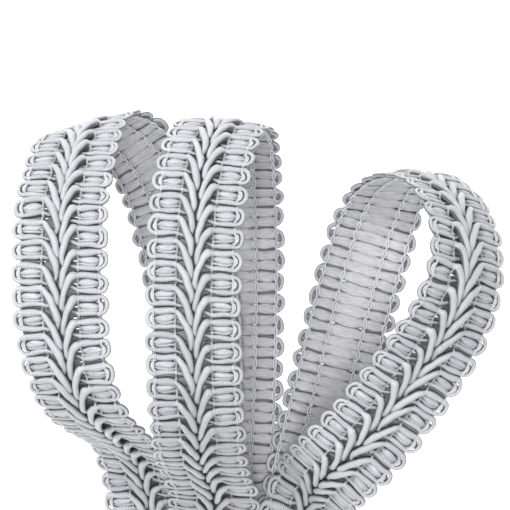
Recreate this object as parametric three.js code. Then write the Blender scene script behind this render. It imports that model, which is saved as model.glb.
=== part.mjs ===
// Metallic braid trim: a scalloped gimp braid, wound face outwards into three open loops.
// It lies on its back: the reverse runs lie on the surface and the front runs arch over them.
// Millimetres, +Z up, +X to the right of the loops and +Y towards their round tops.
import * as THREE from 'three';

// The braid's own measures: across from its centre line, and above its middle layer.
const PITCH = 4.7; // length of one scallop with its cord
const PLAIT_MIDDLE = 1; // across to the inner ends of the slanting cords
const PLAIT_EDGE = 3.65; // across to the elbows, where a cord turns out and becomes a bar
const EDGE = 7.9; // across to the outer binding thread
const SCALLOP = 2.2; // how far a scallop stands past that thread
const CORD_RUN = 4.9; // how far a cord's inner end trails its elbow along the braid
const BACK = -0.6; // height of the flat reverse
const RIM = 0.15; // height of a scallop's outermost line
const FACE = { middle: 1.15, elbow: 0.95, edge: 0.7 }; // mean heights of the face
const SWELL = { middle: 0.3, elbow: 0.4, edge: 0.15 }; // rise of a cord over them and fall between
const CREST = 0.75; // place of a cord in its pitch
const STEPS_PER_PITCH = 4;
const PLAIN_END = 12; // length over which the cords slant less and less towards a cut end

// Where the middle of the wound braid lies in the coordinates of the sections.
const MIDDLE = { x: 0.95, y: -22.8 };

// Sections along the braid, from one cut end to the other. x, y and z place the centre line.
// swing and bank, in degrees, turn the direction from the left edge to the right edge: swing
// about the vertical and bank up from level.
const LEFT_LOOP = [
  { x: -22.3, y: -57.5, z: 5.5, swing: 0, bank: 6 },
  { x: -23.5, y: -51, z: 7.5, swing: 0, bank: 15 },
  { x: -25.5, y: -44, z: 13.5, swing: -5, bank: 25 },
  { x: -28.5, y: -39.5, z: 21, swing: -5, bank: 25 },
  { x: -32, y: -36, z: 28.5, swing: 0, bank: 25 },
  { x: -35, y: -32, z: 36, swing: 0, bank: 22 },
  { x: -37.5, y: -25, z: 42, swing: 3, bank: 20 },
  { x: -39, y: -16, z: 44, swing: 4, bank: 12 },
  { x: -39.5, y: -6.5, z: 44.5, swing: 3, bank: 5 },
  { x: -39.5, y: 2.5, z: 43, swing: 2, bank: 5 },
  { x: -39.5, y: 10.5, z: 39.5, swing: 1, bank: 8 },
  { x: -38.5, y: 17, z: 33.5, swing: 1, bank: 10 },
  { x: -37.5, y: 23, z: 26.5, swing: 3, bank: 13 },
  { x: -35.5, y: 27, z: 18.5, swing: 10, bank: 20 },
  { x: -31.5, y: 27.5, z: 10.5, swing: 22, bank: 33 },
  { x: -25.5, y: 23, z: 5.7, swing: 30, bank: 27 },
  { x: -20.5, y: 15.5, z: 4.1, swing: 24, bank: 14 },
  { x: -17.5, y: 6.5, z: 3.7, swing: 18, bank: 8 },
  { x: -15, y: -3, z: 3.5, swing: 10, bank: 3 },
  { x: -13, y: -12.5, z: 3.4, swing: 5, bank: 0 },
  { x: -12.5, y: -30, z: 3.4, swing: 0, bank: 0 },
  { x: -12.5, y: -50, z: 3.5, swing: 0, bank: 0 },
  { x: -11.8, y: -58.5, z: 3.6, swing: 0, bank: 0 },
];
const MIDDLE_LOOP = [
  { x: -10.6, y: -62, z: 6.4, swing: 2, bank: 3 },
  { x: -9.8, y: -59, z: 9.4, swing: 0, bank: 6 },
  { x: -9, y: -55.6, z: 10.9, swing: 0, bank: 9 },
  { x: -8.7, y: -51, z: 15.5, swing: 0, bank: 12 },
  { x: -10.4, y: -46, z: 23, swing: -2, bank: 12 },
  { x: -11.4, y: -41.5, z: 31, swing: 0, bank: 4 },
  { x: -11.7, y: -35.5, z: 38, swing: 2, bank: 1 },
  { x: -12.2, y: -27.5, z: 42.5, swing: 2, bank: 2 },
  { x: -12.4, y: -18.5, z: 44, swing: 1, bank: 4 },
  { x: -12.5, y: -9, z: 44.3, swing: 0, bank: 7 },
  { x: -12.2, y: 0.5, z: 43.6, swing: -2, bank: 8 },
  { x: -11.6, y: 9.5, z: 41.5, swing: -3, bank: 7 },
  { x: -10.5, y: 17.5, z: 37.3, swing: -4, bank: 8 },
  { x: -8.8, y: 24, z: 31, swing: -5, bank: 12 },
  { x: -6.5, y: 27.4, z: 22.4, swing: -5, bank: 14 },
  { x: -4.6, y: 26, z: 13.6, swing: -7, bank: 12 },
  { x: -3.9, y: 20, z: 6.5, swing: -5, bank: 9 },
  { x: -3.7, y: 12, z: 2.4, swing: 0, bank: 3 },
  { x: -3.4, y: 3, z: 0.9, swing: 0, bank: 0 },
  { x: -3.5, y: -16, z: 0.85, swing: 0, bank: 0 },
  { x: -4, y: -35, z: 0.85, swing: 0, bank: 0 },
  { x: -4.5, y: -46, z: 0.85, swing: 0, bank: 0 },
  { x: -3.8, y: -53, z: 0.85, swing: 8, bank: 0 },
  { x: -2, y: -60, z: 0.85, swing: 16, bank: 0 },
  { x: 1.2, y: -67, z: 0.9, swing: 20, bank: 0 },
];
const RIGHT_LOOP = [
  { x: 5.2, y: -72, z: 4.7, swing: 6, bank: 0 },
  { x: 7.9, y: -68, z: 8.5, swing: -8, bank: 1 },
  { x: 9.7, y: -62, z: 8.5, swing: -18, bank: 3 },
  { x: 10.9, y: -56, z: 9, swing: -30, bank: 5 },
  { x: 12.4, y: -51.5, z: 12.5, swing: -40, bank: 7 },
  { x: 14, y: -48, z: 20, swing: -44, bank: 4 },
  { x: 18.4, y: -43, z: 28.5, swing: -41, bank: 0 },
  { x: 24.5, y: -36, z: 33.5, swing: -38, bank: -5 },
  { x: 30.5, y: -28, z: 36.5, swing: -35, bank: -10 },
  { x: 36, y: -20, z: 39.5, swing: -32, bank: -17 },
  { x: 40.5, y: -11.5, z: 42, swing: -27, bank: -25 },
  { x: 43, y: -3, z: 41.3, swing: -23, bank: -30 },
  { x: 43, y: 5, z: 37, swing: -20, bank: -30 },
  { x: 41, y: 11, z: 31, swing: -15, bank: -30 },
  { x: 37.7, y: 15, z: 23.2, swing: -9, bank: -30 },
  { x: 33.5, y: 16.7, z: 15.4, swing: 0, bank: -28 },
  { x: 29.6, y: 13.8, z: 8, swing: -3, bank: -25 },
  { x: 26.6, y: 7, z: 3.2, swing: -13, bank: -12 },
  { x: 24, y: -1.5, z: 1.1, swing: -15, bank: 0 },
  { x: 21.6, y: -10, z: 0.85, swing: -15, bank: 0 },
  { x: 17.2, y: -28, z: 1.2, swing: -14, bank: -3 },
  { x: 12.5, y: -46, z: 3, swing: -14, bank: -6 },
  { x: 9.5, y: -59, z: 3.2, swing: -12, bank: -6 },
];
const SECTIONS = [...LEFT_LOOP, ...MIDDLE_LOOP, ...RIGHT_LOOP];

// Two smooth curves that share one parameter: the centre line and the direction across it.
function makePath(sections) {
  const centres = sections.map((s) => new THREE.Vector3(s.x - MIDDLE.x, s.y - MIDDLE.y, s.z));
  const sides = sections.map((s) => {
    const swing = THREE.MathUtils.degToRad(s.swing);
    const bank = THREE.MathUtils.degToRad(s.bank);
    return new THREE.Vector3(
      Math.cos(bank) * Math.cos(swing),
      Math.cos(bank) * Math.sin(swing),
      Math.sin(bank),
    );
  });
  const centre = new THREE.CatmullRomCurve3(centres);
  centre.arcLengthDivisions = 40 * sections.length;
  return { centre, side: new THREE.CatmullRomCurve3(sides), length: centre.getLength() };
}

// The point at distance along, across and above the middle layer of the braid.
function placePoint(path, along, across, above) {
  const t = path.centre.getUtoTmapping(THREE.MathUtils.clamp(along / path.length, 0, 1));
  const tangent = path.centre.getTangent(t);
  const side = path.side.getPoint(t);
  side.addScaledVector(tangent, -side.dot(tangent)).normalize();
  const outwards = new THREE.Vector3().crossVectors(side, tangent);
  const point = path.centre.getPoint(t);
  return point.addScaledVector(side, across).addScaledVector(outwards, above);
}

// How far a scallop stands out at a place in its pitch, from 0 in the notch to 1 at its middle.
function scallopReach(phase) {
  const fromMiddle = 2 * (phase - Math.floor(phase)) - 1;
  return Math.sqrt(1 - fromMiddle * fromMiddle);
}

// One half of the outline across the braid. The points of the plait trail behind the others.
function halfSection(phase) {
  const lift = Math.cos(2 * Math.PI * (phase - CREST));
  return [
    { across: PLAIT_MIDDLE, above: FACE.middle + SWELL.middle * lift, behind: CORD_RUN },
    { across: PLAIT_EDGE, above: FACE.elbow + SWELL.elbow * lift, behind: 0 },
    { across: EDGE, above: FACE.edge + SWELL.edge * lift, behind: 0 },
    { across: EDGE + SCALLOP * scallopReach(phase), above: RIM, behind: 0 },
    { across: EDGE, above: BACK, behind: 0 },
  ];
}

// The outline across the braid: right half from the middle out, then left half back in.
function crossSection(along) {
  const right = halfSection(along / PITCH);
  const left = halfSection(along / PITCH + 0.5).map((p) => ({ ...p, across: -p.across }));
  return [...right, ...left.reverse()];
}

// The whole braid as one closed skin, pressed flat where it lies on the surface.
function makeTrim(path) {
  const stations = Math.floor(path.length / PITCH) * STEPS_PER_PITCH;
  const positions = [];
  for (let i = 0; i <= stations; i += 1) {
    const along = (i * PITCH) / STEPS_PER_PITCH;
    const fromEnd = Math.min(i, stations - i) * (PITCH / STEPS_PER_PITCH);
    const fade = Math.min(1, fromEnd / PLAIN_END);
    for (const { across, above, behind } of crossSection(along)) {
      const point = placePoint(path, along - behind * fade, across, above);
      positions.push(point.x, point.y, Math.max(point.z, 0));
    }
  }
  const ring = positions.length / 3 / (stations + 1);
  const indices = [];
  for (let i = 0; i < stations; i += 1) {
    for (let j = 0; j < ring; j += 1) {
      const a = i * ring + j;
      const b = i * ring + ((j + 1) % ring);
      indices.push(a, b, b + ring, a, b + ring, a + ring);
    }
  }
  const last = stations * ring;
  const outline = crossSection(0).map(({ across, above }) => new THREE.Vector2(across, above));
  for (const [a, b, c] of THREE.ShapeUtils.triangulateShape(outline, [])) {
    indices.push(a, b, c, last + a, last + c, last + b);
  }
  const geometry = new THREE.BufferGeometry();
  geometry.setAttribute('position', new THREE.Float32BufferAttribute(positions, 3));
  geometry.setIndex(indices);
  geometry.computeVertexNormals();
  return geometry;
}

const satin = new THREE.MeshStandardMaterial({ color: 0xc9cbd2, roughness: 0.45, metalness: 0.35 });
const braid = new THREE.Mesh(makeTrim(makePath(SECTIONS)), satin);
braid.name = 'trim';

const part = new THREE.Group();
part.add(braid);

export default part;
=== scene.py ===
import math
from collections import namedtuple

import bmesh
import bpy
import numpy as np
from bpy.props import FloatProperty, FloatVectorProperty, IntProperty, PointerProperty
from mathutils import Matrix, Vector


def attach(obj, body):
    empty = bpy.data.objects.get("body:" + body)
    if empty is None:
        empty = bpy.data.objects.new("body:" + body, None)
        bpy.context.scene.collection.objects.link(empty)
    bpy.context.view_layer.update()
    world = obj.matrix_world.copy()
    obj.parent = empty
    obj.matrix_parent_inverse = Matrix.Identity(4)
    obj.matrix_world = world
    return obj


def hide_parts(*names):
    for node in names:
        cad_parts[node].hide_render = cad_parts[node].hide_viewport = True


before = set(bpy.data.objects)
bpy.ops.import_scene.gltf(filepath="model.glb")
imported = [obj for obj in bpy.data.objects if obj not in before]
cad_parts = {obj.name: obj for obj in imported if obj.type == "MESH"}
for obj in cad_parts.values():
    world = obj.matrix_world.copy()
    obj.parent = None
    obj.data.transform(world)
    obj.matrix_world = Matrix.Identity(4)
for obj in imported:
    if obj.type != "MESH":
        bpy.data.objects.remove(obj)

bl_info = {
    "name": "Gimp Braid Trim",
    "version": (1, 0, 0),
    "blender": (4, 5, 0),
    "location": "3D View > Sidebar > Trim",
    "description": "Builds a scalloped gimp braid that is wound into three open loops",
    "category": "Object",
}

# Lengths in the tables and in the flat braid are millimetres. The scene is in metres.
MM = 0.001
NODE = "trim"
BODY = "root"

# The flat braid: one scallop to a pitch, the left edge half a pitch behind the right. The
# stitches run in an inner and an outer column on both sides of the middle.
PITCH = 4.7
HALF_WIDTH = 10.0
INNER_COLUMN = 3.7
OUTER_COLUMN = 8.05
# Its lowest and highest points above the centre line, and the gap that stays under it.
BACK = -0.7
FACE = 1.8
FLOOR_GAP = 0.02

# Steps from one row of a table to the next, along the laid braid and along a cord's curve.
PATH_STEPS = 80
BEND_STEPS = 24
# Two rows nearer than this, measured by the square root of their gap, count as one place.
NO_GAP = 1e-4

# A scallop drifts across, along and above by these shares of its piece's own unevenness, and
# leans by another, about a line between the middle and the edge.
DRIFT_SHARES = (1.0, 1.0, 0.5)
LEAN_SHARE = 0.35
LEAN_LINE = 0.6 * HALF_WIDTH
# No random value is more than this many times its spread.
NOISE_LIMIT = 1.5
# What is added to a piece's seed for the lean and for the tone of its scallops, and how far
# their tones spread.
LEAN_SEED = 5
TONE_SEED = 7
TONE_SPREAD = 0.6
# The plait's cords bow by this much, and change to the other side over this length.
PLAIT_BOW = 0.55
PLAIT_CHANGE = 20.0
# The whole braid wanders by this share of its unevenness, in waves. A wave has the axis that it
# moves, its share of the reach, its lengths along and across, and its start.
WANDER_SHARE = 0.5
Wave = namedtuple("Wave", "axis share along across start")
WAVES = [
    Wave(axis=1, share=1.0, along=7.3, across=5.2, start=0.0),
    Wave(axis=1, share=0.7, along=3.1, across=-6.4, start=1.3),
    Wave(axis=0, share=0.8, along=5.9, across=-7.7, start=0.6),
    Wave(axis=0, share=0.5, along=3.7, across=4.3, start=2.1),
]

# Painted shade of the yarns: how fast a cord's colour darkens towards its flank and towards a
# crease between wrappings, how much lighter or darker a scallop's own random tone makes it, and
# how much of its grain takes the colour of the painted crease shade.
FLANK_POWER = 1.5
CREASE_SHADE_POWER = 2.0
TONE_SHARE = 0.12
GRAIN_SHARE = 0.5
# The wrapping, with its painted crease shade, shows on the bars, which lie between these two
# places across. The painted shade of deep yarns fades out over a width past the outer column.
BAR_START = INNER_COLUMN - 0.2
BAR_END = OUTER_COLUMN + 0.6
EDGE_FADE = 0.7
# Kinds of socket of a node group.
NUMBER = "NodeSocketFloat"
VECTOR = "NodeSocketVector"
COLOUR = "NodeSocketColor"

# The picture's width in pixels, and the camera's in millimetres.
PICTURE_WIDTH = 510.0
SENSOR_WIDTH = 36.0
# Half the floor's width, the lights' places and the point that they face, in metres.
FLOOR_REACH = 1.5
KEY_PLACE = (-0.35, 0.45, 0.6)
FILL_PLACE = (-0.05, -0.15, 0.9)
LIGHT_AIM = (0, 0, 0.02)

# A section of the laid braid: a point of its centre line, and how far the direction across it
# swings about the vertical and banks upwards, in degrees.
Section = namedtuple("Section", "x y z swing bank")
# The point of the sections' plane that comes to lie on the scene's origin.
Middle = namedtuple("Middle", "x y")
MIDDLE = Middle(x=0.95, y=-22.8)
LEFT_LOOP = [
    Section(x=-22.3, y=-57.5, z=5.5, swing=0, bank=6),
    Section(x=-23.5, y=-51, z=7.5, swing=0, bank=15),
    Section(x=-25.5, y=-44, z=13.5, swing=-5, bank=25),
    Section(x=-28.5, y=-39.5, z=21, swing=-5, bank=25),
    Section(x=-32, y=-36, z=28.5, swing=0, bank=25),
    Section(x=-35, y=-32, z=36, swing=0, bank=22),
    Section(x=-37.5, y=-25, z=42, swing=3, bank=20),
    Section(x=-39, y=-16, z=44, swing=4, bank=12),
    Section(x=-39.5, y=-6.5, z=44.5, swing=3, bank=5),
    Section(x=-39.5, y=2.5, z=43, swing=2, bank=5),
    Section(x=-39.5, y=10.5, z=39.5, swing=1, bank=8),
    Section(x=-38.5, y=17, z=33.5, swing=1, bank=10),
    Section(x=-37.5, y=23, z=26.5, swing=3, bank=13),
    Section(x=-35.5, y=27, z=18.5, swing=10, bank=20),
    Section(x=-31.5, y=27.5, z=10.5, swing=22, bank=33),
    Section(x=-25.5, y=23, z=5.7, swing=30, bank=27),
    Section(x=-20.5, y=15.5, z=4.1, swing=24, bank=14),
    Section(x=-17.5, y=6.5, z=3.7, swing=18, bank=8),
    Section(x=-15, y=-3, z=3.5, swing=10, bank=3),
    Section(x=-13, y=-12.5, z=3.4, swing=5, bank=0),
    Section(x=-12.5, y=-30, z=3.4, swing=0, bank=0),
    Section(x=-12.5, y=-50, z=3.5, swing=0, bank=0),
    Section(x=-11.8, y=-58.5, z=3.6, swing=0, bank=0),
]
MIDDLE_LOOP = [
    Section(x=-10.6, y=-62, z=6.4, swing=2, bank=3),
    Section(x=-9.8, y=-59, z=9.4, swing=0, bank=6),
    Section(x=-9, y=-55.6, z=10.9, swing=0, bank=9),
    Section(x=-8.7, y=-51, z=15.5, swing=0, bank=12),
    Section(x=-10.4, y=-46, z=23, swing=-2, bank=12),
    Section(x=-11.4, y=-41.5, z=31, swing=0, bank=4),
    Section(x=-11.7, y=-35.5, z=38, swing=2, bank=1),
    Section(x=-12.2, y=-27.5, z=42.5, swing=2, bank=2),
    Section(x=-12.4, y=-18.5, z=44, swing=1, bank=4),
    Section(x=-12.5, y=-9, z=44.3, swing=0, bank=7),
    Section(x=-12.2, y=0.5, z=43.6, swing=-2, bank=8),
    Section(x=-11.6, y=9.5, z=41.5, swing=-3, bank=7),
    Section(x=-10.5, y=17.5, z=37.3, swing=-4, bank=8),
    Section(x=-8.8, y=24, z=31, swing=-5, bank=12),
    Section(x=-6.5, y=27.4, z=22.4, swing=-5, bank=14),
    Section(x=-4.6, y=26, z=13.6, swing=-7, bank=12),
    Section(x=-3.9, y=20, z=6.5, swing=-5, bank=9),
    Section(x=-3.7, y=12, z=2.4, swing=0, bank=3),
    Section(x=-3.4, y=3, z=0.9, swing=0, bank=0),
    Section(x=-3.5, y=-16, z=0.85, swing=0, bank=0),
    Section(x=-4, y=-35, z=0.85, swing=0, bank=0),
    Section(x=-4.5, y=-46, z=0.85, swing=0, bank=0),
    Section(x=-3.8, y=-53, z=0.85, swing=8, bank=0),
    Section(x=-2, y=-60, z=0.85, swing=16, bank=0),
    Section(x=1.2, y=-67, z=0.9, swing=20, bank=0),
]
RIGHT_LOOP = [
    Section(x=5.2, y=-72, z=4.7, swing=6, bank=0),
    Section(x=7.9, y=-68, z=8.5, swing=-8, bank=1),
    Section(x=9.7, y=-62, z=8.5, swing=-18, bank=3),
    Section(x=10.9, y=-56, z=9, swing=-30, bank=5),
    Section(x=12.4, y=-51.5, z=12.5, swing=-40, bank=7),
    Section(x=14, y=-48, z=20, swing=-44, bank=4),
    Section(x=18.4, y=-43, z=28.5, swing=-41, bank=0),
    Section(x=24.5, y=-36, z=33.5, swing=-38, bank=-5),
    Section(x=30.5, y=-28, z=36.5, swing=-35, bank=-10),
    Section(x=36, y=-20, z=39.5, swing=-32, bank=-17),
    Section(x=40.5, y=-11.5, z=42, swing=-27, bank=-25),
    Section(x=43, y=-3, z=41.3, swing=-23, bank=-30),
    Section(x=43, y=5, z=37, swing=-20, bank=-30),
    Section(x=41, y=11, z=31, swing=-15, bank=-30),
    Section(x=37.7, y=15, z=23.2, swing=-9, bank=-30),
    Section(x=33.5, y=16.7, z=15.4, swing=0, bank=-28),
    Section(x=29.6, y=13.8, z=8, swing=-3, bank=-25),
    Section(x=26.6, y=7, z=3.2, swing=-13, bank=-12),
    Section(x=24, y=-1.5, z=1.1, swing=-15, bank=0),
    Section(x=21.6, y=-10, z=0.85, swing=-15, bank=0),
    Section(x=17.2, y=-28, z=1.2, swing=-14, bank=-3),
    Section(x=12.5, y=-46, z=3, swing=-14, bank=-6),
    Section(x=9.5, y=-59, z=3.2, swing=-12, bank=-6),
]

# A bend of a cord or thread in the flat braid. wide and high are half its width and thickness.
Bend = namedtuple("Bend", "across along above wide high")

# A thread to sweep: its bends, the sides of its rings and the spacing of the rings.
Thread = namedtuple("Thread", "bends sides spacing")

# The gimp cord of one scallop of the right edge, from under the plait to under the plait.
GIMP_CORD = [
    Bend(across=1.6, along=-4.4, above=0.0, wide=0.48, high=0.36),
    Bend(across=0.95, along=-3.8, above=0.15, wide=0.56, high=0.46),
    Bend(across=0.48, along=-2.85, above=0.48, wide=0.66, high=0.64),
    Bend(across=0.66, along=-1.45, above=0.82, wide=0.76, high=0.75),
    Bend(across=1.08, along=0.05, above=0.96, wide=0.81, high=0.78),
    Bend(across=1.66, along=1.5, above=1.02, wide=0.83, high=0.79),
    Bend(across=2.25, along=2.66, above=1.02, wide=0.83, high=0.78),
    Bend(across=2.78, along=3.36, above=0.96, wide=0.83, high=0.76),
    Bend(across=3.22, along=3.7, above=0.8, wide=0.75, high=0.68),
    Bend(across=3.62, along=3.83, above=0.6, wide=0.56, high=0.52),
    Bend(across=4.02, along=3.87, above=0.48, wide=0.68, high=0.6),
    Bend(across=4.5, along=3.89, above=0.44, wide=0.78, high=0.66),
    Bend(across=6.0, along=3.87, above=0.4, wide=0.8, high=0.67),
    Bend(across=7.3, along=3.88, above=0.36, wide=0.74, high=0.64),
    Bend(across=8.0, along=3.98, above=0.3, wide=0.58, high=0.54),
    Bend(across=8.6, along=3.92, above=0.27, wide=0.49, high=0.48),
    Bend(across=9.12, along=3.56, above=0.22, wide=0.47, high=0.46),
    Bend(across=9.45, along=2.94, above=0.2, wide=0.46, high=0.45),
    Bend(across=9.53, along=2.3, above=0.19, wide=0.46, high=0.45),
    Bend(across=9.42, along=1.6, above=0.19, wide=0.46, high=0.45),
    Bend(across=9.04, along=1.0, above=0.19, wide=0.46, high=0.45),
    Bend(across=8.5, along=0.66, above=0.2, wide=0.47, high=0.46),
    Bend(across=7.95, along=0.62, above=0.21, wide=0.5, high=0.48),
    Bend(across=7.2, along=0.73, above=0.24, wide=0.62, high=0.54),
    Bend(across=5.8, along=0.77, above=0.26, wide=0.66, high=0.57),
    Bend(across=4.3, along=0.8, above=0.22, wide=0.56, high=0.53),
    Bend(across=3.7, along=0.8, above=0.12, wide=0.48, high=0.46),
    Bend(across=3.0, along=0.82, above=0.06, wide=0.47, high=0.42),
    Bend(across=2.0, along=0.9, above=0.04, wide=0.4, high=0.34),
]
# The thin thread loop inside a scallop.
RING_THREAD = [
    Bend(across=7.5, along=3.3, above=0.1, wide=0.13, high=0.16),
    Bend(across=8.1, along=3.26, above=0.3, wide=0.16, high=0.2),
    Bend(across=8.55, along=2.92, above=0.36, wide=0.18, high=0.21),
    Bend(across=8.74, along=2.3, above=0.34, wide=0.18, high=0.21),
    Bend(across=8.55, along=1.68, above=0.34, wide=0.18, high=0.21),
    Bend(across=8.1, along=1.32, above=0.3, wide=0.16, high=0.2),
    Bend(across=7.5, along=1.22, above=0.1, wide=0.13, high=0.16),
]
# The flat floss between an upper and a lower bar, in two strands.
UPPER_FLOSS = [
    Bend(across=3.5, along=2.72, above=0.0, wide=0.16, high=0.16),
    Bend(across=4.1, along=2.62, above=0.2, wide=0.44, high=0.3),
    Bend(across=4.9, along=2.5, above=0.3, wide=0.76, high=0.4),
    Bend(across=6.2, along=2.44, above=0.34, wide=0.84, high=0.44),
    Bend(across=7.2, along=2.42, above=0.28, wide=0.66, high=0.38),
    Bend(across=7.8, along=2.4, above=0.16, wide=0.38, high=0.26),
    Bend(across=8.2, along=2.4, above=0.06, wide=0.2, high=0.18),
]
LOWER_FLOSS = [
    Bend(across=3.5, along=1.72, above=0.0, wide=0.14, high=0.14),
    Bend(across=4.2, along=1.66, above=0.14, wide=0.3, high=0.26),
    Bend(across=5.6, along=1.58, above=0.22, wide=0.42, high=0.34),
    Bend(across=6.9, along=1.64, above=0.2, wide=0.4, high=0.32),
    Bend(across=7.9, along=1.9, above=0.08, wide=0.22, high=0.2),
]
# Painted shade: dark yarn laid deep between two scallops and inside a scallop, where the braid
# shows only shade.
NOTCH_SHADE = [
    Bend(across=3.2, along=0.02, above=-0.12, wide=0.12, high=0.08),
    Bend(across=3.8, along=0.02, above=-0.12, wide=0.22, high=0.1),
    Bend(across=4.4, along=0.02, above=-0.12, wide=0.3, high=0.12),
    Bend(across=7.6, along=0.0, above=-0.12, wide=0.3, high=0.12),
    Bend(across=8.2, along=0.0, above=-0.12, wide=0.12, high=0.08),
]
SCALLOP_SHADE = [
    Bend(across=7.7, along=2.3, above=-0.1, wide=0.9, high=0.1),
    Bend(across=8.4, along=2.3, above=-0.08, wide=1.12, high=0.1),
    Bend(across=9.0, along=2.3, above=-0.06, wide=0.92, high=0.09),
    Bend(across=9.35, along=2.3, above=-0.04, wide=0.45, high=0.07),
]
# A flat floss bar of the reverse, from the middle to the right edge. The other half is the
# same, turned half round. It is pinched at each column of stitches.
BACK_FLOSS = [
    Bend(across=0.0, along=0.0, above=-0.4, wide=1.42, high=0.18),
    Bend(across=1.6, along=0.0, above=-0.4, wide=1.4, high=0.18),
    Bend(across=2.5, along=0.0, above=-0.38, wide=1.22, high=0.17),
    Bend(across=3.0, along=0.0, above=-0.36, wide=1.09, high=0.17),
    Bend(across=3.4, along=0.0, above=-0.34, wide=1.06, high=0.16),
    Bend(across=4.0, along=0.02, above=-0.34, wide=1.06, high=0.16),
    Bend(across=4.45, along=0.06, above=-0.38, wide=1.06, high=0.18),
    Bend(across=5.1, along=0.1, above=-0.42, wide=1.2, high=0.22),
    Bend(across=5.9, along=0.11, above=-0.43, wide=1.23, high=0.24),
    Bend(across=6.8, along=0.1, above=-0.4, wide=1.18, high=0.2),
    Bend(across=7.4, along=0.06, above=-0.36, wide=1.04, high=0.17),
    Bend(across=7.8, along=0.02, above=-0.34, wide=1.0, high=0.16),
    Bend(across=8.15, along=0.0, above=-0.32, wide=0.98, high=0.15),
    Bend(across=8.45, along=0.0, above=-0.3, wide=0.7, high=0.12),
]
# One pitch of a binding thread of the face: it climbs over the bars and dips between them.
INNER_BINDING = [
    Bend(across=0.0, along=0.0, above=-0.05, wide=0.09, high=0.09),
    Bend(across=0.05, along=0.8, above=0.54, wide=0.09, high=0.08),
    Bend(across=0.02, along=1.5, above=0.22, wide=0.08, high=0.08),
    Bend(across=0.0, along=2.6, above=0.24, wide=0.08, high=0.08),
    Bend(across=0.0, along=3.3, above=0.8, wide=0.09, high=0.08),
    Bend(across=0.0, along=3.86, above=1.12, wide=0.09, high=0.08),
    Bend(across=0.0, along=4.38, above=0.86, wide=0.09, high=0.08),
    Bend(across=0.0, along=4.7, above=-0.05, wide=0.09, high=0.09),
]
OUTER_BINDING = [
    Bend(across=0.0, along=0.0, above=0.0, wide=0.09, high=0.09),
    Bend(across=-0.04, along=0.62, above=0.66, wide=0.1, high=0.08),
    Bend(across=0.06, along=1.3, above=0.5, wide=0.12, high=0.12),
    Bend(across=0.24, along=1.9, above=0.44, wide=0.14, high=0.14),
    Bend(across=0.24, along=2.7, above=0.44, wide=0.14, high=0.14),
    Bend(across=0.06, along=3.35, above=0.68, wide=0.12, high=0.1),
    Bend(across=-0.04, along=3.96, above=0.84, wide=0.1, high=0.08),
    Bend(across=0.0, along=4.42, above=0.64, wide=0.09, high=0.08),
    Bend(across=0.0, along=4.7, above=0.0, wide=0.09, high=0.09),
]
# Half a pitch of a chain-stitch thread of the reverse, one of the two that cross at each gap.
BACK_BINDING = [
    Bend(across=0.05, along=0.0, above=-0.46, wide=0.17, high=0.14),
    Bend(across=0.25, along=0.6, above=-0.63, wide=0.2, high=0.16),
    Bend(across=0.31, along=1.2, above=-0.66, wide=0.2, high=0.16),
    Bend(across=0.25, along=1.8, above=-0.63, wide=0.2, high=0.16),
    Bend(across=0.05, along=2.35, above=-0.46, wide=0.17, high=0.14),
]


class BraidSizes(bpy.types.PropertyGroup):
    """Sizes of the braid that a user may change"""

    pitches: IntProperty(
        name="Scallops", description="Scallops along one edge of the braid", default=143, min=4
    )
    thickness: FloatProperty(
        name="Cord thickness",
        description="Thickness of the gimp cords, as a share of the photographed ones",
        default=1.0, min=0.6, max=1.15, subtype="FACTOR",
    )
    unevenness: FloatProperty(
        name="Unevenness",
        description="How far a cord may lie from its even place, in millimetres",
        default=0.17, min=0.0, max=0.4,
    )
    rib_pitch: FloatProperty(
        name="Rib pitch",
        description="Distance from one wrapping of a cord to the next, in millimetres",
        default=0.36, min=0.2, max=1.0,
    )


class BraidColours(bpy.types.PropertyGroup):
    """Colours of the yarns"""

    cord: FloatVectorProperty(
        name="Cord", description="Silver-grey satin of the gimp cords",
        default=(0.64, 0.645, 0.68), subtype="COLOR", min=0.0, max=1.0,
    )
    # Painted shade: the darker colour between two wrappings of a cord. It also colours the
    # darker grain streaks of the cords and of the face floss.
    crease_shade: FloatVectorProperty(
        name="Crease Shade", description="The cords' colour between two wrappings",
        default=(0.33, 0.335, 0.37), subtype="COLOR", min=0.0, max=1.0,
    )
    # Painted shade: the colour of the yarns laid where the gaps show only shade.
    core: FloatVectorProperty(
        name="Gap shade", description="Core yarn deep in the gaps",
        default=(0.2, 0.2, 0.225), subtype="COLOR", min=0.0, max=1.0,
    )
    floss: FloatVectorProperty(
        name="Floss", description="Untwisted satin floss of the reverse",
        default=(0.63, 0.63, 0.65), subtype="COLOR", min=0.0, max=1.0,
    )
    floss_shade: FloatVectorProperty(
        name="Floss shade", description="The floss between its strands",
        default=(0.33, 0.33, 0.35), subtype="COLOR", min=0.0, max=1.0,
    )
    binding: FloatVectorProperty(
        name="Binding thread", description="Fine light binding thread",
        default=(0.68, 0.685, 0.71), subtype="COLOR", min=0.0, max=1.0,
    )


class StageSettings(bpy.types.PropertyGroup):
    """Camera and lights"""

    camera_height: FloatProperty(
        name="Camera height", description="Height of the lens above the surface",
        default=0.56, min=0.2, unit="LENGTH",
    )
    focal_pixels: FloatProperty(
        name="Focal length in pixels", description="Focal length for a picture 510 pixels wide",
        default=2545.0, min=500.0,
    )
    key_power: FloatProperty(
        name="Key light", description="Power of the soft light from the upper left",
        default=4.0, min=0.0, unit="POWER",
    )
    fill_power: FloatProperty(
        name="Fill light", description="Power of the soft light from above the camera",
        default=4.4, min=0.0, unit="POWER",
    )
    surround: FloatProperty(
        name="Surround", description="Strength of the even white light from all round",
        default=0.45, min=0.0,
    )


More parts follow.
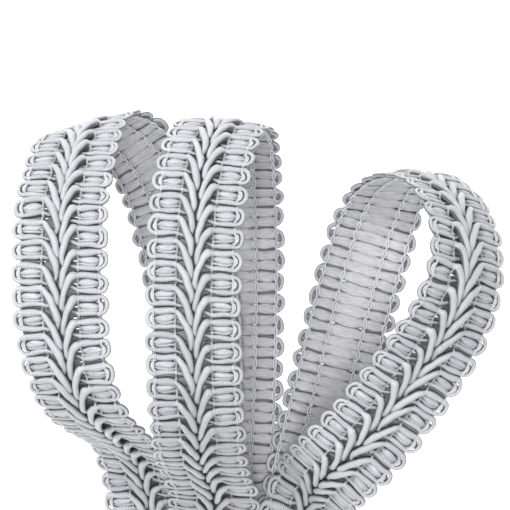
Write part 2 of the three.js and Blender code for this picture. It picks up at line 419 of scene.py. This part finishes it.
def smooth_curve(rows, places):
    """A centripetal spline through rows of any width, read at places counted in rows."""
    rows = np.asarray(rows, float)
    before, after = 2 * rows[0] - rows[1], 2 * rows[-1] - rows[-2]
    knots = np.vstack([before, rows, after])
    start = np.clip(places.astype(int), 0, len(rows) - 2)
    w = (places - start)[:, None]
    p0, p1, p2, p3 = (knots[start + i] for i in range(4))
    d0, d1, d2 = (
        np.sqrt(np.linalg.norm(b[:, :3] - a[:, :3], axis=1))[:, None]
        for a, b in ((p0, p1), (p1, p2), (p2, p3))
    )
    d1 = np.where(d1 < NO_GAP, 1.0, d1)
    d0 = np.where(d0 < NO_GAP, d1, d0)
    d2 = np.where(d2 < NO_GAP, d1, d2)
    slope1 = d1 * ((p1 - p0) / d0 - (p2 - p0) / (d0 + d1) + (p2 - p1) / d1)
    slope2 = d1 * ((p2 - p1) / d1 - (p3 - p1) / (d1 + d2) + (p3 - p2) / d2)
    square = -3 * p1 + 3 * p2 - 2 * slope1 - slope2
    cube = 2 * p1 - 2 * p2 + slope1 + slope2
    return p1 + w * (slope1 + w * (square + w * cube))


def fine_places(rows, steps):
    """Places along a table, with so many steps from one row to the next."""
    return np.linspace(0, len(rows) - 1, steps * (len(rows) - 1) + 1)


def distance_run(points):
    """How far along their line each of the points lies."""
    gaps = np.linalg.norm(np.diff(points, axis=0), axis=1)
    return np.concatenate([[0.0], np.cumsum(gaps)])


def read_between(table, run, wanted):
    """The rows of a table at wanted distances, from its own rows and their distances."""
    return np.stack([np.interp(wanted, run, column) for column in table.T], axis=1)


def unit_rows(vectors):
    """The vectors of a table, each made one long."""
    return vectors / np.linalg.norm(vectors, axis=1)[:, None]


def direction_across(section):
    """The direction from the left edge to the right edge at a section."""
    swing, bank = math.radians(section.swing), math.radians(section.bank)
    return [math.cos(bank) * math.cos(swing), math.cos(bank) * math.sin(swing), math.sin(bank)]


class LaidPath:
    """Carries points of the flat braid to the laid one."""

    def __init__(self, sections):
        places = fine_places(sections, PATH_STEPS)
        centres = [[s.x - MIDDLE.x, s.y - MIDDLE.y, s.z] for s in sections]
        self.centre = smooth_curve(centres, places)
        self.forward = unit_rows(np.gradient(self.centre, axis=0))
        side = smooth_curve([direction_across(s) for s in sections], places)
        side -= (side * self.forward).sum(axis=1)[:, None] * self.forward
        self.side = unit_rows(side)
        self.outward = np.cross(self.side, self.forward)
        self.reach = distance_run(self.centre)

    def lay(self, flat):
        """Points (across, along, above) of the flat braid, laid, in metres."""
        along = np.clip(flat[:, 1], 0.0, self.reach[-1])
        beyond = flat[:, 1] - along
        forward, side, outward = (
            unit_rows(read_between(table, self.reach, along))
            for table in (self.forward, self.side, self.outward)
        )
        laid = read_between(self.centre, self.reach, along) + beyond[:, None] * forward
        laid += flat[:, :1] * side
        lowest = laid[:, 2] + np.minimum(BACK * outward[:, 2], FACE * outward[:, 2])
        laid += flat[:, 2:] * outward
        laid[:, 2] += np.maximum(FLOOR_GAP - lowest, 0.0)
        laid[:, 2] = np.maximum(laid[:, 2], FLOOR_GAP)
        return laid * MM


PATH = LaidPath(LEFT_LOOP + MIDDLE_LOOP + RIGHT_LOOP)


def even_rows(bends, spacing):
    """Rows of a smooth curve through the bends, about evenly spaced, with the distance run."""
    rows = smooth_curve(bends, fine_places(bends, BEND_STEPS))
    run = distance_run(rows[:, :3])
    count = max(3, int(round(run[-1] / spacing)) + 1)
    wanted = np.linspace(0, run[-1], count)
    return read_between(rows, run, wanted), wanted


def ring_frames(rows):
    """A frame for each ring: its width in the braid's plane, its thickness and its axis."""
    frames = []
    forward = unit_rows(np.gradient(rows[:, :3], axis=0))
    for row, axis in zip(rows, forward):
        axis = Vector(axis)
        wide = axis.cross(Vector((0, 0, 1))).normalized()
        high = wide.cross(axis).normalized()
        turn = Matrix((wide * row[3], high * row[4], axis)).transposed().to_4x4()
        frames.append(Matrix.Translation(Vector(row[:3])) @ turn)
    return frames


def sweep(shape, bends, sides, spacing):
    """Sweeps a ring along the bends, closes both ends and returns the new points. Each point
    keeps its run along the cord, and its ring's share of flank, which extruding passes on."""
    run_layer = shape.verts.layers.float["run"]
    flank_layer = shape.verts.layers.float["flank"]
    rows, run = even_rows(bends, spacing)
    frames = ring_frames(rows)
    ring = bmesh.ops.create_circle(shape, segments=sides, radius=1.0, matrix=frames[0])["verts"]
    edges = list(dict.fromkeys(edge for vert in ring for edge in vert.link_edges))
    made, first_edges = list(ring), edges
    upright = frames[0].inverted()
    for vert in ring:
        vert[flank_layer] = 1.0 - min(abs((upright @ vert.co).y), 1.0)
    for before, after, distance in zip(frames, frames[1:], run[1:]):
        grown = bmesh.ops.extrude_edge_only(shape, edges=edges)["geom"]
        ring = [item for item in grown if isinstance(item, bmesh.types.BMVert)]
        fresh = set(ring)
        edges = [
            item for item in grown
            if isinstance(item, bmesh.types.BMEdge) and fresh.issuperset(item.verts)
        ]
        bmesh.ops.transform(shape, matrix=after @ before.inverted(), verts=ring)
        for vert in ring:
            vert[run_layer] = distance
        made += ring
    bmesh.ops.edgeloop_fill(shape, edges=first_edges)
    bmesh.ops.edgeloop_fill(shape, edges=edges)
    return made


def add_mirrored(shape, verts, shift):
    """Adds a copy of points and their faces, mirrored across the braid and moved along it."""
    faces = list(dict.fromkeys(face for vert in verts for face in vert.link_faces))
    copy = bmesh.ops.duplicate(shape, geom=verts + faces)["geom"]
    copied = [item for item in copy if isinstance(item, bmesh.types.BMVert)]
    bmesh.ops.scale(shape, vec=(-1, 1, 1), verts=copied)
    bmesh.ops.translate(shape, vec=(0, shift, 0), verts=copied)


def wander(flat, reach):
    """Soft waves that make the worked braid a little uneven, along it and across it."""
    across, along = flat[:, 0].copy(), flat[:, 1].copy()
    for wave in WAVES:
        angle = 2 * math.pi * (along / wave.along + across / wave.across) + wave.start
        flat[:, wave.axis] += wave.share * reach * np.sin(angle)


def lean_plait(flat):
    """Bows the plait's cords forward on one side and back on the other, and changes over
    to the opposite lean where the braid turns into the right loop."""
    turn = PATH.reach[PATH_STEPS * len(LEFT_LOOP + MIDDLE_LOOP)]
    lean = PLAIT_BOW * np.tanh((turn - flat[:, 1]) / PLAIT_CHANGE)
    flat[:, 1] += lean * np.sin(math.pi * np.clip(flat[:, 0] / INNER_COLUMN, -1.0, 1.0))


def new_shape():
    """An empty shape with room for each point's run along its cord and its flank."""
    shape = bmesh.new()
    shape.verts.layers.float.new("run")
    shape.verts.layers.float.new("flank")
    return shape


def moved(bends, across=0.0, along=0.0, grown=1.0, flip=1.0):
    """Bends flipped across or moved across and along the braid, and grown in thickness."""
    return [
        b._replace(
            across=flip * b.across + across, along=b.along + along,
            wide=b.wide * grown, high=b.high * grown,
        )
        for b in bends
    ]


def list_by_points(shape):
    """Lists edges and faces by their lowest points, because extruding lists them in another
    order in each run."""
    shape.verts.index_update()
    count = len(shape.verts)

    def place(item):
        first, second, *rest = sorted(vert.index for vert in item.verts)
        return (first * count + second) * count + (rest[0] if rest else 0)

    shape.edges.sort(key=place)
    shape.faces.sort(key=place)


def repeated(shape, name, count):
    """The shape of one pitch, repeated along the flat braid, as one mesh. Each edge runs from
    its lower point to its higher one, so that every run gives the same mesh."""
    bmesh.ops.recalc_face_normals(shape, faces=shape.faces)
    list_by_points(shape)
    unit = bpy.data.meshes.new(name + "_unit")
    shape.to_mesh(unit)
    shape.free()
    pairs = np.zeros(len(unit.edges) * 2, np.int32)
    unit.edges.foreach_get("vertices", pairs)
    unit.edges.foreach_set("vertices", np.sort(pairs.reshape(-1, 2)).ravel())
    row = bpy.data.objects.new(name + "_row", unit)
    bpy.context.collection.objects.link(row)
    array = row.modifiers.new("Repeat", "ARRAY")
    array.count = count
    array.use_relative_offset = False
    array.use_constant_offset = True
    array.constant_offset_displace = (0.0, PITCH, 0.0)
    evaluated = row.evaluated_get(bpy.context.evaluated_depsgraph_get())
    mesh = bpy.data.meshes.new_from_object(evaluated)
    points = len(unit.vertices)
    bpy.data.objects.remove(row)
    bpy.data.meshes.remove(unit)
    mesh.name = name
    return mesh, points


def unit_noise(count, seed, spread):
    """One gentle random value for each scallop, partly shared with the next but one."""
    values = np.random.default_rng(seed).normal(size=count + 4)
    blended = 0.25 * values[:-4] + 0.5 * values[2:-2] + 0.25 * values[4:]
    return spread * np.clip(blended, -NOISE_LIMIT, NOISE_LIMIT)


def braid_length():
    """Length of the flat braid from cut to cut, in millimetres."""
    return min(bpy.context.scene.trim_sizes.pitches * PITCH, float(PATH.reach[-1]))


def cut_ends(mesh):
    """Cuts the flat braid straight across at both ends and closes the cut yarns."""
    shape = bmesh.new()
    shape.from_mesh(mesh)
    for place, outward in ((0.0, -1.0), (braid_length(), 1.0)):
        cut = bmesh.ops.bisect_plane(
            shape, geom=shape.verts[:] + shape.edges[:] + shape.faces[:], dist=1e-5,
            plane_co=(0, place, 0), plane_no=(0, outward, 0), clear_outer=True,
        )["geom_cut"]
        edges = [item for item in cut if isinstance(item, bmesh.types.BMEdge)]
        bmesh.ops.edgeloop_fill(shape, edges=edges)
    shape.to_mesh(mesh)
    shape.free()


def read_points(mesh):
    """The points of a mesh as a table."""
    coords = np.zeros(len(mesh.vertices) * 3, np.float32)
    mesh.vertices.foreach_get("co", coords)
    return coords.reshape(-1, 3).astype(float)


def write_points(mesh, points):
    """Moves the points of a mesh."""
    mesh.vertices.foreach_set("co", points.astype(np.float32).ravel())


def shade(mesh):
    """Smooth yarns with flat ends, which are the faces of more than four corners."""
    mesh.shade_smooth()
    corners = np.zeros(len(mesh.polygons), np.int32)
    mesh.polygons.foreach_get("loop_total", corners)
    mesh.polygons.foreach_set("use_smooth", corners <= 4)
    mesh.update()


def add_braid_piece(name, shape, material, seed, uneven=0.0, start=0.0, plait=False):
    """Repeats one pitch, lays it along the path and dresses it as a piece of the braid. It
    starts a pitch early and ends a pitch late, and is cut to the braid's length."""
    sizes = bpy.context.scene.trim_sizes
    count = sizes.pitches + 2
    mesh, points = repeated(shape, name, count)
    flat = read_points(mesh)
    flat[:, 1] += start - PITCH
    for axis, share in enumerate(DRIFT_SHARES):
        flat[:, axis] += np.repeat(unit_noise(count, seed + axis, uneven * share), points)
    lean = np.repeat(unit_noise(count, seed + LEAN_SEED, LEAN_SHARE * uneven), points)
    flat[:, 1] += lean * (np.abs(flat[:, 0]) - LEAN_LINE)
    wander(flat, WANDER_SHARE * sizes.unevenness)
    if plait:
        lean_plait(flat)
    write_points(mesh, flat)
    tone = np.repeat(unit_noise(count, seed + TONE_SEED, TONE_SPREAD), points)
    tones = mesh.attributes.new("tone", "FLOAT", "POINT")
    tones.data.foreach_set("value", tone.astype(np.float32))
    cut_ends(mesh)
    flat = read_points(mesh)
    places = mesh.attributes.new("flat", "FLOAT_VECTOR", "POINT")
    places.data.foreach_set("vector", flat.astype(np.float32).ravel())
    write_points(mesh, PATH.lay(flat))
    shade(mesh)
    mesh.materials.append(material)
    piece = bpy.data.objects.new(name, mesh)
    bpy.context.collection.objects.link(piece)
    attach(piece, BODY)
    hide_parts(NODE)
    return piece


def add_mirrored_yarns(name, threads, material, seed, uneven=0.0):
    """Adds a piece of threads, and of the same ones mirrored, half a pitch further along."""
    shape = new_shape()
    verts = []
    for thread in threads:
        verts += sweep(shape, *thread)
    add_mirrored(shape, verts, PITCH / 2)
    return add_braid_piece(name, shape, yarn(material), seed, uneven)


def new_group(name, inputs, outputs):
    """A shader node group with named inputs and outputs."""
    group = bpy.data.node_groups.new(name, "ShaderNodeTree")
    for label, kind, value in inputs:
        socket = group.interface.new_socket(name=label, in_out="INPUT", socket_type=kind)
        if value is not None:
            socket.default_value = value
    for label, kind in outputs:
        group.interface.new_socket(name=label, in_out="OUTPUT", socket_type=kind)
    return group, group.nodes.new("NodeGroupInput"), group.nodes.new("NodeGroupOutput")


def math_node(tree, operation, first, second=None, third=None, clamp=False):
    """A Math node fed by sockets or numbers; returns its output."""
    node = tree.nodes.new("ShaderNodeMath")
    node.operation = operation
    node.use_clamp = clamp
    for socket, value in zip(node.inputs, (first, second, third)):
        if isinstance(value, bpy.types.NodeSocket):
            tree.links.new(value, socket)
        elif value is not None:
            socket.default_value = value
    return node.outputs[0]


def set_inputs(node, values):
    """Sets the plain values of a node's sockets."""
    for label, value in values.items():
        node.inputs[label].default_value = value


def split_flat(group, source):
    """The group's input of the flat braid's coordinates, as across, along and above."""
    split = group.nodes.new("ShaderNodeSeparateXYZ")
    group.links.new(source.outputs["Flat"], split.inputs["Vector"])
    return [split.outputs[axis] for axis in "XYZ"]


def wrap_ribs_group():
    """Fine threads wound round a cord: their height, and the creases between them, which the
    materials darken as painted shade.
    """
    group, source, result = new_group(
        "Wrap Ribs",
        [("Run", NUMBER, 0.0), ("Flat", VECTOR, None), ("Pitch", NUMBER, 0.36),
         ("Waver", NUMBER, 0.9)],
        [("Height", NUMBER), ("Crease Shade", NUMBER)],
    )
    noise = group.nodes.new("ShaderNodeTexNoise")
    set_inputs(noise, {"Scale": 1.7, "Detail": 3.0})
    group.links.new(source.outputs["Flat"], noise.inputs["Vector"])
    waver = math_node(group, "MULTIPLY", noise.outputs["Fac"], source.outputs["Waver"])
    turns = math_node(group, "DIVIDE", source.outputs["Run"], source.outputs["Pitch"])
    turns = math_node(group, "ADD", turns, waver)
    wave = math_node(group, "SINE", math_node(group, "MULTIPLY", turns, math.pi))
    rib = math_node(group, "ABSOLUTE", wave)
    # The crease mask, where the materials paint shade between the wrappings.
    crease_shade = math_node(group, "SUBTRACT", 1.0, rib, clamp=True)
    crease_shade = math_node(group, "POWER", crease_shade, CREASE_SHADE_POWER)
    group.links.new(rib, result.inputs["Height"])
    group.links.new(crease_shade, result.inputs["Crease Shade"])
    return group


def bar_mask_group():
    """Tells the straight bars, where the wrapping shows, from the smooth plait and scallops."""
    group, source, result = new_group(
        "Bar Mask", [("Flat", VECTOR, None), ("Least", NUMBER, 0.5)], [("Mask", NUMBER)]
    )
    aside = math_node(group, "ABSOLUTE", split_flat(group, source)[0])
    rise = math_node(group, "SUBTRACT", aside, BAR_START, clamp=True)
    fall = math_node(group, "SUBTRACT", BAR_END, aside, clamp=True)
    both = math_node(group, "MULTIPLY", rise, fall)
    mask = math_node(group, "MAXIMUM", both, source.outputs["Least"])
    group.links.new(mask, result.inputs["Mask"])
    return group


def fibres_group():
    """Long fine fibres that run across the flat braid, as streaks and as a fine relief."""
    group, source, result = new_group(
        "Floss Fibres",
        [("Flat", VECTOR, None), ("Fineness", NUMBER, 6.5), ("Length", NUMBER, 0.45)],
        [("Streak", NUMBER), ("Height", NUMBER)],
    )
    join = group.nodes.new("ShaderNodeCombineXYZ")
    stretches = ("Length", "Fineness", "Fineness")
    for place, stretch, socket in zip(split_flat(group, source), stretches, join.inputs):
        stretched = math_node(group, "MULTIPLY", place, source.outputs[stretch])
        group.links.new(stretched, socket)
    noise = group.nodes.new("ShaderNodeTexNoise")
    set_inputs(noise, {"Scale": 1.0, "Detail": 4.0, "Roughness": 0.62, "Distortion": 0.5})
    group.links.new(join.outputs["Vector"], noise.inputs["Vector"])
    spread = group.nodes.new("ShaderNodeMapRange")
    set_inputs(spread, {"From Min": 0.32, "From Max": 0.68})
    group.links.new(noise.outputs["Fac"], spread.inputs["Value"])
    group.links.new(spread.outputs["Result"], result.inputs["Streak"])
    group.links.new(noise.outputs["Fac"], result.inputs["Height"])
    return group


def yarn_shade_group():
    """A yarn's colour with painted shade, darker on its flanks and deep in the braid, and
    lighter or darker by its scallop's own random tone.
    """
    group, source, result = new_group(
        "Yarn Shade",
        [("Color", COLOUR, None), ("Flat", VECTOR, None), ("Flank", NUMBER, 0.0),
         ("Tone", NUMBER, 0.0), ("Flank Shade", NUMBER, 0.5), ("Depth", NUMBER, 0.45),
         ("Light Level", NUMBER, 0.7), ("Dark Level", NUMBER, -0.2)],
        [("Color", COLOUR)],
    )
    across, _, above = split_flat(group, source)
    # Painted shade deep in the braid, by the height above the centre line, fading out past the
    # outer column.
    deep = group.nodes.new("ShaderNodeMapRange")
    deep.interpolation_type = "SMOOTHSTEP"
    group.links.new(source.outputs["Light Level"], deep.inputs["From Min"])
    group.links.new(source.outputs["Dark Level"], deep.inputs["From Max"])
    group.links.new(above, deep.inputs["Value"])
    edge = group.nodes.new("ShaderNodeMapRange")
    set_inputs(edge, {"From Min": OUTER_COLUMN + EDGE_FADE, "From Max": OUTER_COLUMN})
    group.links.new(math_node(group, "ABSOLUTE", across), edge.inputs["Value"])
    dark = math_node(group, "MULTIPLY", deep.outputs["Result"], source.outputs["Depth"])
    dark = math_node(group, "MULTIPLY", dark, edge.outputs["Result"])
    # Painted shade on a yarn's flanks.
    flank_shade = math_node(group, "POWER", source.outputs["Flank"], FLANK_POWER)
    flank_shade = math_node(group, "MULTIPLY", flank_shade, source.outputs["Flank Shade"])
    light = math_node(group, "MULTIPLY_ADD", source.outputs["Tone"], TONE_SHARE, 1.0)
    light = math_node(group, "MULTIPLY", light, math_node(group, "SUBTRACT", 1.0, dark))
    light = math_node(group, "MULTIPLY", light, math_node(group, "SUBTRACT", 1.0, flank_shade))
    scaled = group.nodes.new("ShaderNodeVectorMath")
    scaled.operation = "SCALE"
    group.links.new(source.outputs["Color"], scaled.inputs[0])
    group.links.new(light, scaled.inputs["Scale"])
    group.links.new(scaled.outputs[0], result.inputs["Color"])
    return group


def shared_group(name):
    """A node group that is built once and then shared."""
    builders = {
        "Wrap Ribs": wrap_ribs_group, "Bar Mask": bar_mask_group,
        "Floss Fibres": fibres_group, "Yarn Shade": yarn_shade_group,
    }
    return bpy.data.node_groups.get(name) or builders[name]()


def add_group(tree, name, flat, values=None):
    """A shared group in a material, with the flat braid's coordinates and its own values."""
    node = tree.nodes.new("ShaderNodeGroup")
    node.node_tree = shared_group(name)
    tree.links.new(flat, node.inputs["Flat"])
    set_inputs(node, values or {})
    return node


def read_attribute(tree, name, output="Fac"):
    """The output of an Attribute node of a material."""
    node = tree.nodes.new("ShaderNodeAttribute")
    node.attribute_name = name
    return node.outputs[output]


def new_yarn(name, roughness):
    """A new satin material, its node tree, its shader and the flat braid's coordinates."""
    material = bpy.data.materials.new(name)
    material.use_nodes = True
    tree = material.node_tree
    shader = tree.nodes["Principled BSDF"]
    set_inputs(shader, {"Roughness": roughness, "Specular IOR Level": 0.8})
    return material, tree, shader, read_attribute(tree, "flat", "Vector")


def add_wrapping(tree, flat, pitch):
    """The thread wound round a cord, by its run. The pitch is in millimetres."""
    ribs = add_group(tree, "Wrap Ribs", flat, {"Pitch": pitch})
    tree.links.new(read_attribute(tree, "run"), ribs.inputs["Run"])
    return ribs.outputs


def add_colour(tree, shader, flat, mask, low, high, shading):
    """Mixes two colours by a mask, paints the yarn's shade on them and feeds them to the
    shader.
    """
    mix = tree.nodes.new("ShaderNodeMix")
    mix.data_type = "RGBA"
    set_inputs(mix, {"A": (*low, 1.0), "B": (*high, 1.0)})
    tree.links.new(mask, mix.inputs["Factor"])
    shade = add_group(tree, "Yarn Shade", flat, shading)
    tree.links.new(read_attribute(tree, "flank"), shade.inputs["Flank"])
    tree.links.new(read_attribute(tree, "tone"), shade.inputs["Tone"])
    tree.links.new(mix.outputs["Result"], shade.inputs["Color"])
    tree.links.new(shade.outputs["Color"], shader.inputs["Base Color"])


def add_relief(tree, shader, height, distance, strength):
    """Fine relief on the surface from a height. The distance is in millimetres."""
    bump = tree.nodes.new("ShaderNodeBump")
    set_inputs(bump, {"Distance": distance * MM, "Strength": strength})
    tree.links.new(height, bump.inputs["Height"])
    tree.links.new(bump.outputs["Normal"], shader.inputs["Normal"])


def gimp_material():
    """Satin thread wound round the inner strand of a gimp cord, with a fibrous grain. Its
    colour has painted shade between the wrappings, on its flanks and deep in the braid.
    """
    colours, sizes = bpy.context.scene.trim_colours, bpy.context.scene.trim_sizes
    material, tree, shader, flat = new_yarn("gimp cord satin", roughness=0.37)
    ribs = add_wrapping(tree, flat, sizes.rib_pitch)
    mask = add_group(tree, "Bar Mask", flat).outputs["Mask"]
    fibres = add_group(tree, "Floss Fibres", flat, {"Length": 4.6, "Fineness": 4.6})
    grain = fibres.outputs["Streak"]
    # Painted shade between the wrappings on the bars, less on the plait and scallops; the grain
    # streaks take the same darker colour.
    crease_shade = math_node(tree, "MULTIPLY", ribs["Crease Shade"], mask)
    crease_shade = math_node(tree, "MULTIPLY_ADD", grain, GRAIN_SHARE, crease_shade, clamp=True)
    # Strong painted shade deep in the braid and on the cords' flanks.
    shading = {"Depth": 0.85, "Flank Shade": 0.9}
    add_colour(tree, shader, flat, crease_shade, colours.cord, colours.crease_shade, shading)
    height = math_node(tree, "MULTIPLY", ribs["Height"], mask)
    height = math_node(tree, "SUBTRACT", height, grain)
    add_relief(tree, shader, height, distance=0.07, strength=0.6)
    return material


def binding_material():
    """Fine twisted binding thread, with painted shade in the creases of its twist and on its
    flanks.
    """
    colours = bpy.context.scene.trim_colours
    material, tree, shader, flat = new_yarn("binding thread", roughness=0.45)
    ribs = add_wrapping(tree, flat, pitch=0.3)
    shading = {"Depth": 0.0}
    add_colour(tree, shader, flat, ribs["Crease Shade"], colours.binding, colours.cord, shading)
    add_relief(tree, shader, ribs["Height"], distance=0.04, strength=0.5)
    return material


def floss_material(name, low, high, shading):
    """Untwisted satin floss with fine fibres across the braid, and the painted shade that its
    shading values ask for.
    """
    material, tree, shader, flat = new_yarn(name, roughness=0.36)
    fibres = add_group(tree, "Floss Fibres", flat)
    add_colour(tree, shader, flat, fibres.outputs["Streak"], low, high, shading)
    add_relief(tree, shader, fibres.outputs["Height"], distance=0.12, strength=0.7)
    return material


def yarn(name):
    """The material of a yarn, made when it is first asked for."""
    colours = bpy.context.scene.trim_colours
    # Each floss's colours for its darker and its lighter streaks, and its painted shade: darker
    # on its flanks and deep in the braid. The back floss darkens on its side that faces into
    # the braid.
    flosses = {
        "face floss": (colours.crease_shade, colours.cord, {"Depth": 0.3, "Flank Shade": 0.6}),
        "back floss": (
            colours.floss_shade, colours.floss,
            {"Depth": 0.75, "Flank Shade": 0.15, "Light Level": -0.4, "Dark Level": -0.26},
        ),
        "core yarn": (colours.core, colours.core, {"Depth": 0.0, "Flank Shade": 0.4}),
    }
    if name in bpy.data.materials:
        return bpy.data.materials[name]
    if name in flosses:
        return floss_material(name, *flosses[name])
    return {"gimp cord satin": gimp_material, "binding thread": binding_material}[name]()


class TRIM_OT_gimp_cords(bpy.types.Operator):
    """Adds the cords that form the plait, the bars and the scallops"""

    bl_idname = "trim.gimp_cords"
    bl_label = "Gimp cords"

    def execute(self, context):
        sizes = context.scene.trim_sizes
        cord = moved(GIMP_CORD, grown=sizes.thickness)
        for name, flip, start, seed in (
            ("right_cords", 1.0, 0.0, 11), ("left_cords", -1.0, PITCH / 2, 23)
        ):
            shape = new_shape()
            sweep(shape, moved(cord, flip=flip), sides=8, spacing=0.42)
            add_braid_piece(
                name, shape, yarn("gimp cord satin"), seed, sizes.unevenness, start, plait=True
            )
        return {"FINISHED"}


class TRIM_OT_scallop_threads(bpy.types.Operator):
    """Adds the thin thread loop inside each scallop"""

    bl_idname = "trim.scallop_threads"
    bl_label = "Scallop threads"

    def execute(self, context):
        ring = Thread(RING_THREAD, sides=6, spacing=0.35)
        add_mirrored_yarns("scallop_threads", [ring], "binding thread", seed=37, uneven=0.04)
        return {"FINISHED"}


class TRIM_OT_gap_shade_yarns(bpy.types.Operator):
    """Adds yarns of painted shade deep in the gaps"""

    bl_idname = "trim.core_yarns"
    bl_label = "Core yarns"

    def execute(self, context):
        notch = Thread(NOTCH_SHADE, sides=6, spacing=1.0)
        scallop = Thread(SCALLOP_SHADE, sides=6, spacing=0.5)
        add_mirrored_yarns("core_yarns", [notch, scallop], "core yarn", seed=43)
        return {"FINISHED"}


class TRIM_OT_face_floss(bpy.types.Operator):
    """Adds the flat floss between the bars of the face"""

    bl_idname = "trim.face_floss"
    bl_label = "Face floss"

    def execute(self, context):
        upper = Thread(UPPER_FLOSS, sides=8, spacing=0.55)
        lower = Thread(LOWER_FLOSS, sides=6, spacing=0.6)
        add_mirrored_yarns("face_floss", [upper, lower], "face floss", seed=41, uneven=0.09)
        return {"FINISHED"}


class TRIM_OT_binding(bpy.types.Operator):
    """Adds the binding threads of the face and the chain stitches of the reverse"""

    bl_idname = "trim.binding"
    bl_label = "Binding threads"

    def execute(self, context):
        threads = [
            Thread(moved(bends, across=column + offset), sides=5, spacing=0.4)
            for bends, column, aside in (
                (INNER_BINDING, INNER_COLUMN, 0.12), (OUTER_BINDING, OUTER_COLUMN, 0.13)
            )
            for offset in (-aside, aside)
        ]
        add_mirrored_yarns("face_binding", threads, "binding thread", seed=61)

        back = new_shape()
        for column in (-OUTER_COLUMN, -INNER_COLUMN, INNER_COLUMN, OUTER_COLUMN):
            for flip in (-1.0, 1.0):
                for along in (0.0, PITCH / 2):
                    stitch = moved(BACK_BINDING, column, along, flip=flip)
                    sweep(back, stitch, sides=5, spacing=0.42)
        add_braid_piece("back_binding", back, yarn("binding thread"), seed=71)
        return {"FINISHED"}


class TRIM_OT_back_floss(bpy.types.Operator):
    """Adds the flat floss bars of the reverse, which reach from edge to edge"""

    bl_idname = "trim.back_floss"
    bl_label = "Back floss"

    def execute(self, context):
        left_half = [b._replace(across=-b.across, along=-b.along) for b in BACK_FLOSS[:0:-1]]
        bar = Thread(moved(left_half + BACK_FLOSS, along=PITCH / 4), sides=8, spacing=0.45)
        piece = add_mirrored_yarns("back_floss", [bar], "back floss", seed=53, uneven=0.08)
        return {"FINISHED"}


def add_floor():
    """A plain white floor, which glows softly so that it stays white under the shadows."""
    shape = bmesh.new()
    bmesh.ops.create_grid(shape, x_segments=1, y_segments=1, size=FLOOR_REACH)
    mesh = bpy.data.meshes.new("floor")
    shape.to_mesh(mesh)
    shape.free()
    floor = bpy.data.objects.new("floor", mesh)
    bpy.context.collection.objects.link(floor)
    paper = bpy.data.materials.new("white paper")
    paper.use_nodes = True
    set_inputs(paper.node_tree.nodes["Principled BSDF"], {
        "Base Color": (0.93, 0.93, 0.935, 1.0), "Roughness": 0.9,
        "Emission Color": (1.0, 1.0, 1.0, 1.0), "Emission Strength": 0.7,
    })
    mesh.materials.append(paper)


def add_soft_light(name, place, size, power):
    """A round soft light that faces the braid."""
    light = bpy.data.lights.new(name, "AREA")
    light.shape = "DISK"
    light.size = size
    light.energy = power
    lamp = bpy.data.objects.new(name, light)
    lamp.location = place
    facing = Vector(LIGHT_AIM) - Vector(place)
    lamp.rotation_euler = facing.to_track_quat("-Z", "Y").to_euler()
    bpy.context.collection.objects.link(lamp)


def add_surround(strength):
    """Even white light from all round, which shows as plain white behind the braid."""
    world = bpy.data.worlds.new("surround")
    world.use_nodes = True
    tree = world.node_tree
    background = tree.nodes["Background"]
    background.inputs["Color"].default_value = (1.0, 1.0, 1.0, 1.0)
    path = tree.nodes.new("ShaderNodeLightPath")
    strength = math_node(tree, "MAXIMUM", path.outputs["Is Camera Ray"], strength)
    tree.links.new(strength, background.inputs["Strength"])
    bpy.context.scene.world = world
    bpy.context.scene.view_settings.view_transform = "Standard"


def add_camera(height, focal_pixels):
    """The camera, which looks straight down on the origin of the sections' plane."""
    lens = bpy.data.cameras.new("camera")
    lens.sensor_width = SENSOR_WIDTH
    lens.lens = focal_pixels / PICTURE_WIDTH * SENSOR_WIDTH
    lens.clip_start = 0.01
    camera = bpy.data.objects.new("camera", lens)
    camera.location = (-MIDDLE.x * MM, -MIDDLE.y * MM, height)
    bpy.context.collection.objects.link(camera)
    bpy.context.scene.camera = camera


class TRIM_OT_stage(bpy.types.Operator):
    """Adds the floor, the lights and the camera"""

    bl_idname = "trim.stage"
    bl_label = "Stage"

    def execute(self, context):
        settings = context.scene.trim_stage
        add_floor()
        add_soft_light("key", KEY_PLACE, size=0.35, power=settings.key_power)
        add_soft_light("fill", FILL_PLACE, size=0.3, power=settings.fill_power)
        add_surround(settings.surround)
        add_camera(settings.camera_height, settings.focal_pixels)
        return {"FINISHED"}


class TRIM_PT_panel(bpy.types.Panel):
    """Lists the braid's sizes, colours and making steps"""

    bl_idname = "TRIM_PT_panel"
    bl_label = "Gimp braid trim"
    bl_space_type = "VIEW_3D"
    bl_region_type = "UI"
    bl_category = "Trim"

    def draw(self, context):
        layout, scene = self.layout, context.scene
        for group in (scene.trim_sizes, scene.trim_colours, scene.trim_stage):
            box = layout.box()
            for key in group.bl_rna.properties.keys():
                if key not in {"rna_type", "name"}:
                    box.prop(group, key)
        for operator in OPERATORS:
            layout.operator(operator.bl_idname)


OPERATORS = (
    TRIM_OT_gimp_cords, TRIM_OT_scallop_threads, TRIM_OT_gap_shade_yarns, TRIM_OT_face_floss,
    TRIM_OT_binding, TRIM_OT_back_floss, TRIM_OT_stage,
)
CLASSES = (BraidSizes, BraidColours, StageSettings, *OPERATORS, TRIM_PT_panel)


def register():
    """Registers the classes and their settings."""
    for cls in CLASSES:
        bpy.utils.register_class(cls)
    bpy.types.Scene.trim_sizes = PointerProperty(type=BraidSizes)
    bpy.types.Scene.trim_colours = PointerProperty(type=BraidColours)
    bpy.types.Scene.trim_stage = PointerProperty(type=StageSettings)


def unregister():
    """Removes the settings and the classes."""
    del bpy.types.Scene.trim_stage
    del bpy.types.Scene.trim_colours
    del bpy.types.Scene.trim_sizes
    for cls in reversed(CLASSES):
        bpy.utils.unregister_class(cls)


def main():
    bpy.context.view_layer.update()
    register()
    bpy.ops.trim.stage()
    bpy.ops.trim.gimp_cords()
    bpy.ops.trim.scallop_threads()
    bpy.ops.trim.core_yarns()
    bpy.ops.trim.face_floss()
    bpy.ops.trim.binding()
    bpy.ops.trim.back_floss()


if __name__ == "__main__":
    main()
